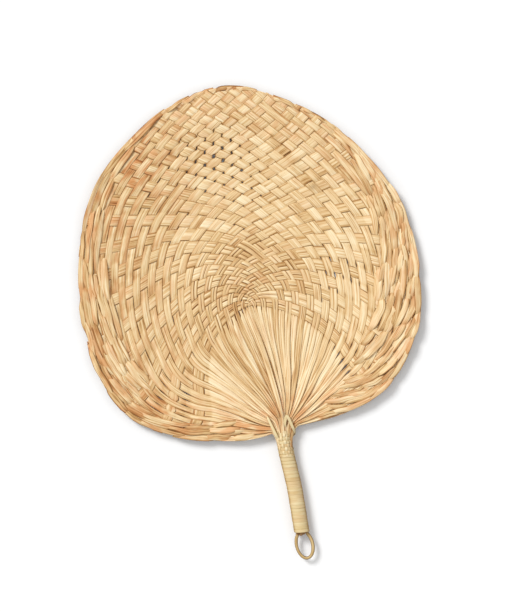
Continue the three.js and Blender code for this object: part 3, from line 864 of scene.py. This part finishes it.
# ---------------------------------------------------------------- ties round the shoulder bundles
def tie(name, path, width, node):
    """A flat strip along a path of (x, y, z) points."""
    path = np.array(path, float) + np.array([0, NECK_Y, 0])
    knots = np.linspace(0, 1, len(path))
    t = np.linspace(0, 1, 48)
    line = np.stack([catmull(knots, path[:, k], t) for k in range(3)], -1)
    ahead = unit(np.gradient(line, axis=0))
    outward = unit((line - np.array([0, NECK_Y, AXIS_Z])) * np.array([0.25, 0.1, 1]))
    aside = unit(np.cross(outward, ahead))
    grid = line[:, None, :] + aside[:, None, :] * (ACROSS[None, :, None] * width / 2)
    piece = joined(name, [grid], skin=0.4, row=180, tone=0.74, warm=0.0, material=TIE,
                   edge_power=12)
    placed(piece, "tie", node)


# each as x, height over the neck, z
tie("shoulder_tie_left", [
    (-7.2, -8.6, 9.2), (-8.3, -4.6, 10.8), (-10.6, 3.0, 10.6), (-12.9, 10.6, 9.3),
    (-13.6, 12.0, 6.5), (-12.8, 9.5, 3.6), (-10.2, 2.0, 2.4), (-7.4, -8.0, 3.0)],
    2.7, "neck_tie_left")
tie("shoulder_tie_right", [
    (-1.2, -2.0, 8.6), (0.4, 5.0, 10.4), (3.2, 10.4, 10.4), (6.4, 0.6, 11.0),
    (7.6, -4.0, 8.6), (8.0, -5.0, 6.0), (6.6, -6.0, 3.0), (3.0, -9.0, 1.9)],
    2.5, "neck_tie_right")


# ---------------------------------------------------------------- stalk ends and hanging loop
def tubes(name, paths, radii, row, tone, warm, material, sides, edge_brown_and_shade=0.0):
    """Closed round rods along paths, as one piece."""
    verts, faces, uvs, tones, edges, count = [], [], [], [], [], 0
    around = np.linspace(0, 2 * np.pi, sides, endpoint=False)
    for k, (path, radius) in enumerate(zip(paths, radii)):
        path = np.asarray(path, float)
        ahead = unit(np.gradient(path, axis=0))
        normal = np.broadcast_to(np.array([0, 0, 1.0]), path.shape)
        aside = unit(np.cross(ahead, normal))
        normal = np.cross(aside, ahead)
        radius = np.broadcast_to(np.asarray(radius, float), (len(path),))
        ring = (aside[:, None] * np.cos(around)[None, :, None]
                + normal[:, None] * np.sin(around)[None, :, None])
        verts.append((path[:, None] + ring * radius[:, None, None]).reshape(-1, 3) + ORIGIN)
        index = np.arange(len(path) * sides).reshape(-1, sides) + count
        a, b = index[:-1].ravel(), np.roll(index[:-1], -1, 1).ravel()
        c, d = np.roll(index[1:], -1, 1).ravel(), index[1:].ravel()
        faces += np.stack([d, c, b, a], 1).tolist() + [index[0].tolist(), index[-1][::-1].tolist()]
        u = np.repeat(run_length(path)[:, None], sides, 1) + rng.uniform(0, 500)
        w = np.abs(around[None, :] - np.pi) * radius[:, None] + (row + k) * 23.0
        uvs.append(np.stack([u, w], -1).reshape(-1, 2))
        tones.append(np.full(len(path) * sides, tone + rng.normal(0, 0.08)))
        # painted shade on the rods' sides, where the round surface turns away from the light
        edges.append(np.tile(edge_brown_and_shade * np.abs(np.cos(around)) ** 4, len(path)))
        count += len(path) * sides
    marks = {"tone": np.concatenate(tones), "edge": np.concatenate(edges),
             "warm": np.full(count, warm)}
    return mesh_piece(name, np.concatenate(verts) * MM, faces, np.concatenate(uvs), marks,
                      material)


END_Y = NECK_Y - HANDLE_LENGTH
STALK_COUNT = 46
STALK_REACH = 4.5      # radius of the bundle
GOLDEN_ANGLE = 2.39996

stalks, stalk_radii = [], []
for k in range(STALK_COUNT):
    # evenly packed round the handle's axis
    r, turn = STALK_REACH * math.sqrt((k + 0.5) / STALK_COUNT), k * GOLDEN_ANGLE
    x, z = r * math.cos(turn), AXIS_Z + r * math.sin(turn)
    end = END_Y + rng.uniform(-1.4, 0.6)
    top = HOLD_Y + rng.uniform(-1, 1)
    stalks.append([(x + lean(y), y, z) for y in np.linspace(top, end, 24)])
    stalk_radii.append(rng.uniform(0.55, 0.75))
core = tubes("stalk_bundle", stalks, stalk_radii, row=200, tone=0.5, warm=0.2, material=CORE,
             sides=7)
placed(core, "core", "handle_core")

EYE_TURN_DEG = 140     # the eye is open by what is left of the half turn, towards the handle
EYE_Y = -208.81
EYE_HALF_WIDTH = 6.9
EYE_HALF_LENGTH = 11.5
EYE_SAG = 1.2          # the far end hangs a little to the right
LEG_X = 3.9
LEG_TOP_Y = -171
LEG_ROWS = 16
CANE_RADIUS = 1.4

turn = np.radians(np.linspace(-EYE_TURN_DEG, EYE_TURN_DEG, 60))
eye_x = EYE_SAG * (1 + np.cos(turn)) / 2 + EYE_HALF_WIDTH * np.sin(turn)
eye_y = EYE_Y - EYE_HALF_LENGTH * np.cos(turn)
leg = np.linspace(LEG_TOP_Y, eye_y[0] + 2, LEG_ROWS)
loop_x = np.concatenate([np.full(LEG_ROWS, -LEG_X), eye_x, np.full(LEG_ROWS, LEG_X)])
loop_y = np.concatenate([leg, eye_y, leg[::-1]])
loop_path = np.stack([loop_x, loop_y, np.full_like(loop_x, AXIS_Z)], -1)
thick = (CANE_RADIUS + 0.1 * np.sin(np.linspace(0, 9, len(loop_path)) + 1)
         + 0.05 * np.sin(np.linspace(0, 31, len(loop_path))))
# the cane's sides get painted shade
loop = tubes("hanging_eye_cane", [loop_path], [thick], row=260, tone=0.62, warm=0.3,
             material=LOOP, sides=20, edge_brown_and_shade=1.5)
placed(loop, "loop", "hanging_loop")

# ---------------------------------------------------------------- camera, light, floor
CAMERA_AIM = np.array([-9.5, -0.52, 3.0])   # in millimetres, from the plait's origin
CAMERA_DISTANCE = 1.6
VIEW_HEIGHT = 0.5239   # what the picture shows from top to bottom
ROLL_DEG = -9.2        # the fan leans by this much in the photograph
SENSOR = 36
FLOOR_HALF = 3
FLOOR_GREY = 0.4       # what the floor throws back on the fan's underside

aim = ORIGIN + CAMERA_AIM
camera = bpy.data.cameras.new("camera")
camera.sensor_fit = "VERTICAL"
camera.sensor_height = SENSOR
camera.lens = SENSOR * CAMERA_DISTANCE / VIEW_HEIGHT
camera_object = bpy.data.objects.new("camera", camera)
camera_object.location = (aim[0] * MM, aim[1] * MM, aim[2] * MM + CAMERA_DISTANCE)
camera_object.rotation_euler = (0, 0, math.radians(ROLL_DEG))
bpy.context.scene.collection.objects.link(camera_object)
bpy.context.scene.camera = camera_object

floor_mesh = bpy.data.meshes.new("floor")
floor_mesh.from_pydata([(x * FLOOR_HALF, y * FLOOR_HALF, 0)
                        for x, y in ((-1, -1), (1, -1), (1, 1), (-1, 1))], [], [(0, 1, 2, 3)])
floor = bpy.data.objects.new("floor", floor_mesh)
bpy.context.scene.collection.objects.link(floor)
floor_paint = bpy.data.materials.new("floor_white")
floor_paint.use_nodes = True
floor_nodes, floor_links = floor_paint.node_tree.nodes, floor_paint.node_tree.links
floor_shader = floor_nodes["Principled BSDF"]


def either(a, b):
    """Whichever of two floor values is larger."""
    larger = floor_nodes.new("ShaderNodeMath")
    larger.operation = "MAXIMUM"
    floor_links.new(a, larger.inputs[0])
    floor_links.new(b, larger.inputs[1])
    return larger.outputs[0]


# white where it is seen, greyer where it only lights the fan
ray = floor_nodes.new("ShaderNodeLightPath").outputs
seen = either(either(ray["Is Camera Ray"], ray["Is Glossy Ray"]), ray["Is Transmission Ray"])
white = floor_nodes.new("ShaderNodeMix")
white.data_type = "RGBA"
white.inputs["A"].default_value = (FLOOR_GREY, FLOOR_GREY, FLOOR_GREY, 1)
white.inputs["B"].default_value = (1, 1, 1, 1)
floor_links.new(seen, white.inputs["Factor"])
floor_links.new(white.outputs["Result"], floor_shader.inputs["Base Color"])
floor_shader.inputs["Roughness"].default_value = 1
floor_shader.inputs["Specular IOR Level"].default_value = 0
floor_mesh.materials.append(floor_paint)

world = bpy.data.worlds.new("studio")
world.use_nodes = True
sky = world.node_tree.nodes["Background"]
sky.inputs["Color"].default_value = (1, 1, 1, 1)
sky.inputs["Strength"].default_value = 0.62
bpy.context.scene.world = world

key = bpy.data.lights.new("key", "SUN")
key.angle = math.radians(22)
key.energy = 2.1
key_object = bpy.data.objects.new("key", key)
key_object.rotation_euler = (math.radians(48), 0, math.radians(225 + ROLL_DEG))
bpy.context.scene.collection.objects.link(key_object)

bpy.context.scene.view_settings.view_transform = "Standard"
